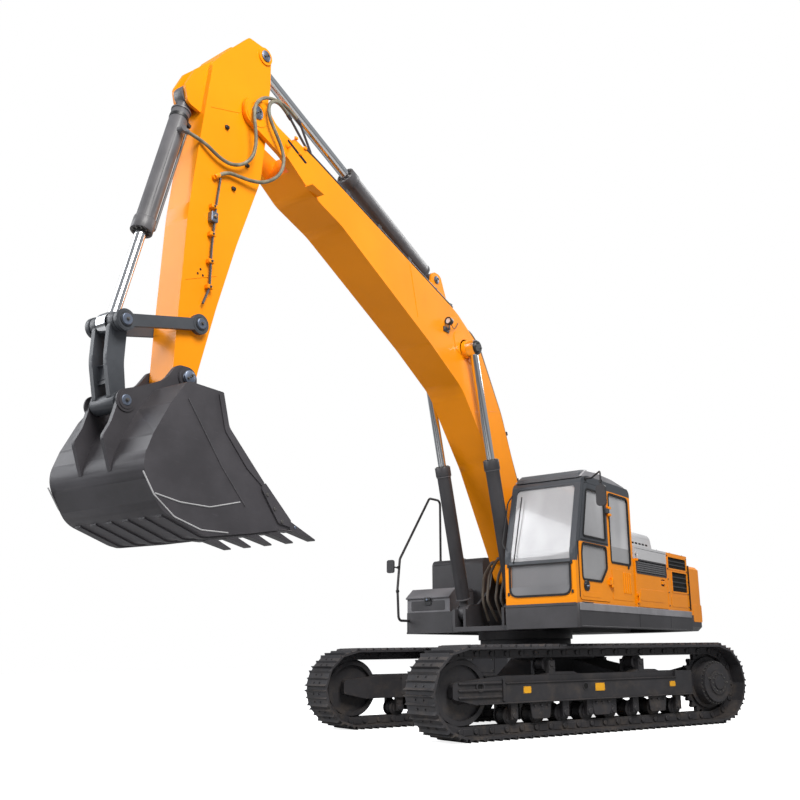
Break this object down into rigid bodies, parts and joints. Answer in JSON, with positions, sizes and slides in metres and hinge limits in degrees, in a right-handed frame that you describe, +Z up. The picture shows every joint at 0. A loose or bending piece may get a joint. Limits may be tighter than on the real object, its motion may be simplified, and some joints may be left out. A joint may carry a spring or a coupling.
{
  "type": "crawler excavator",
  "caption": "Hydraulic crawler excavator with a bent boom, arm, curling bucket, glazed cab, machine house and counterweight on two steel tracks.",
  "frame": {"origin": "on the slewing axis, at the ground under the tracks", "axes": "+X forward in the plane of the working arm, +Y to the cab's side, +Z up"},
  "size_m": [10.4685, 4.931, 7.06],
  "materials": {
    "paint_orange": "gloss paint",
    "paint_light": "satin paint",
    "paint_black": "satin paint",
    "track_steel": "painted steel",
    "link_black": "satin paint",
    "rod_chrome": "polished",
    "glass": "clear",
    "hose_rubber": "matt rubber",
    "trim_black": "matt"
  },
  "bodies": {
    "crawler": {"track_left": "track_steel", "track_right": "track_steel", "track_frame_left": "paint_black", "track_frame_right": "paint_black", "idlers": "paint_black", "sprockets": "paint_black", "final_drives": "paint_black", "track_rollers": "paint_black", "car_body": "paint_black", "swing_bearing": "track_steel"},
    "upper": {"upper_frame": "paint_black", "counterweight": "paint_orange", "cab_shell": "paint_orange", "cab_glass": "glass", "roof_hatch": "paint_light", "operator_seat": "trim_black", "cab_consoles": "trim_black", "house_walls": "paint_orange", "engine_block": "paint_black", "fuel_tank": "paint_orange", "hydraulic_tank": "paint_orange", "tool_box": "paint_black", "valve_block": "paint_black", "rails_and_mirrors": "paint_black", "exhaust_pipe": "link_black"},
    "cab_door": {"cab_door": "paint_orange", "cab_door_glass": "glass"},
    "side_door_left": {"side_door_left": "paint_orange"},
    "side_door_right": {"side_door_right": "paint_orange"},
    "engine_hood": {"engine_hood": "paint_light"},
    "tool_box_lid": {"tool_box_lid": "paint_black"},
    "boom": {"boom": "paint_orange", "boom_fittings": "trim_black", "arm_hoses": "hose_rubber"},
    "boom_barrels": {"boom_cylinder_barrels": "link_black"},
    "boom_rods": {"boom_cylinder_rods": "rod_chrome"},
    "arm": {"arm": "paint_orange"},
    "arm_barrel": {"arm_cylinder_barrel": "link_black"},
    "arm_rod": {"arm_cylinder_rod": "rod_chrome"},
    "bucket_barrel": {"bucket_cylinder_barrel": "link_black"},
    "bucket_rod": {"bucket_cylinder_rod": "rod_chrome"},
    "rocker": {"rocker_links": "link_black"},
    "tipping_link": {"tipping_link": "link_black"},
    "bucket": {"bucket": "link_black", "bucket_teeth": "link_black"}
  },
  "joints": [
    {"name": "slew", "type": "hinge", "parent": "crawler", "child": "upper", "pos_m": [0, 0, 1.12], "axis": [0, 0, 1], "continuous": true},
    {"name": "boom_lower", "type": "hinge", "parent": "upper", "child": "boom", "pos_m": [0.2, 0, 1.98], "axis": [0, 1, 0], "range_deg": [-28, 62]},
    {"name": "boom_barrels_swing", "type": "hinge", "parent": "upper", "child": "boom_barrels", "pos_m": [0.93, 0, 1.46], "axis": [0, 1, 0], "range_deg": [-28.02, 61.79]},
    {"name": "boom_rods_slide", "type": "slide", "parent": "boom_barrels", "child": "boom_rods", "axis": [0.2595, 0, 0.9657], "range_m": [-0.9258, 0.4192]},
    {"name": "arm_out", "type": "hinge", "parent": "boom", "child": "arm", "pos_m": [5.555, 0, 6.225], "axis": [0, -1, 0], "range_deg": [-34, 65], "deforming": ["arm_hoses"]},
    {"name": "arm_barrel_swing", "type": "hinge", "parent": "boom", "child": "arm_barrel", "pos_m": [2.22, 0, 5.6], "axis": [0, -1, 0], "range_deg": [-1.49, 0.88]},
    {"name": "arm_rod_slide", "type": "slide", "parent": "arm_barrel", "child": "arm_rod", "axis": [0.9208, 0, 0.3901], "range_m": [-0.7886, 0.4134]},
    {"name": "bucket_open", "type": "hinge", "parent": "arm", "child": "bucket", "pos_m": [6.25, 0, 3.283], "axis": [0, -1, 0], "range_deg": [-58, 70]},
    {"name": "rocker_swing", "type": "hinge", "parent": "arm", "child": "rocker", "pos_m": [6.13, 0, 3.81], "axis": [0, -1, 0], "range_deg": [-41.86, 50.48]},
    {"name": "tipping_link_swing", "type": "hinge", "parent": "bucket", "child": "tipping_link", "pos_m": [6.85, 0, 2.95], "axis": [0, -1, 0], "range_deg": [-55.11, 45.7]},
    {"name": "bucket_barrel_swing", "type": "hinge", "parent": "arm", "child": "bucket_barrel", "pos_m": [6.28, 0, 6.08], "axis": [0, -1, 0], "range_deg": [-5.68, 6.82]},
    {"name": "bucket_rod_slide", "type": "slide", "parent": "bucket_barrel", "child": "bucket_rod", "axis": [0.2462, 0, -0.9692], "range_m": [-0.642, 0.5323]},
    {"name": "cab_door_open", "type": "hinge", "parent": "upper", "child": "cab_door", "pos_m": [0.363, 1.479, 2.2], "axis": [0, 0, 1], "range_deg": [0, 115]},
    {"name": "side_door_left_open", "type": "hinge", "parent": "upper", "child": "side_door_left", "pos_m": [-0.5, 1.4843, 1.9], "axis": [0, 0, -1], "range_deg": [0, 95]},
    {"name": "side_door_right_open", "type": "hinge", "parent": "upper", "child": "side_door_right", "pos_m": [-1.69, -1.4843, 1.9], "axis": [0, 0, 1], "range_deg": [0, 95]},
    {"name": "hood_open", "type": "hinge", "parent": "upper", "child": "engine_hood", "pos_m": [-1.255, 0, 2.338], "axis": [0, 1, 0], "range_deg": [0, 65]},
    {"name": "tool_box_lid_open", "type": "hinge", "parent": "upper", "child": "tool_box_lid", "pos_m": [0.112, -1.115, 1.818], "axis": [0, -1, 0], "range_deg": [0, 80]}
  ],
  "couplings": [
    {"joint": "boom_barrels_swing", "follows": "boom_lower", "ratio": 0.99343},
    {"joint": "boom_rods_slide", "follows": "boom_lower", "m_per_rad": -0.85369},
    {"joint": "arm_barrel_swing", "follows": "arm_out", "ratio": -0.01989},
    {"joint": "arm_rod_slide", "follows": "arm_out", "m_per_rad": -0.69334},
    {"joint": "rocker_swing", "follows": "bucket_open", "ratio": 0.71833},
    {"joint": "tipping_link_swing", "follows": "bucket_open", "ratio": -0.78447},
    {"joint": "bucket_barrel_swing", "follows": "bucket_open", "ratio": 0.09456},
    {"joint": "bucket_rod_slide", "follows": "bucket_open", "m_per_rad": -0.52387}
  ]
}
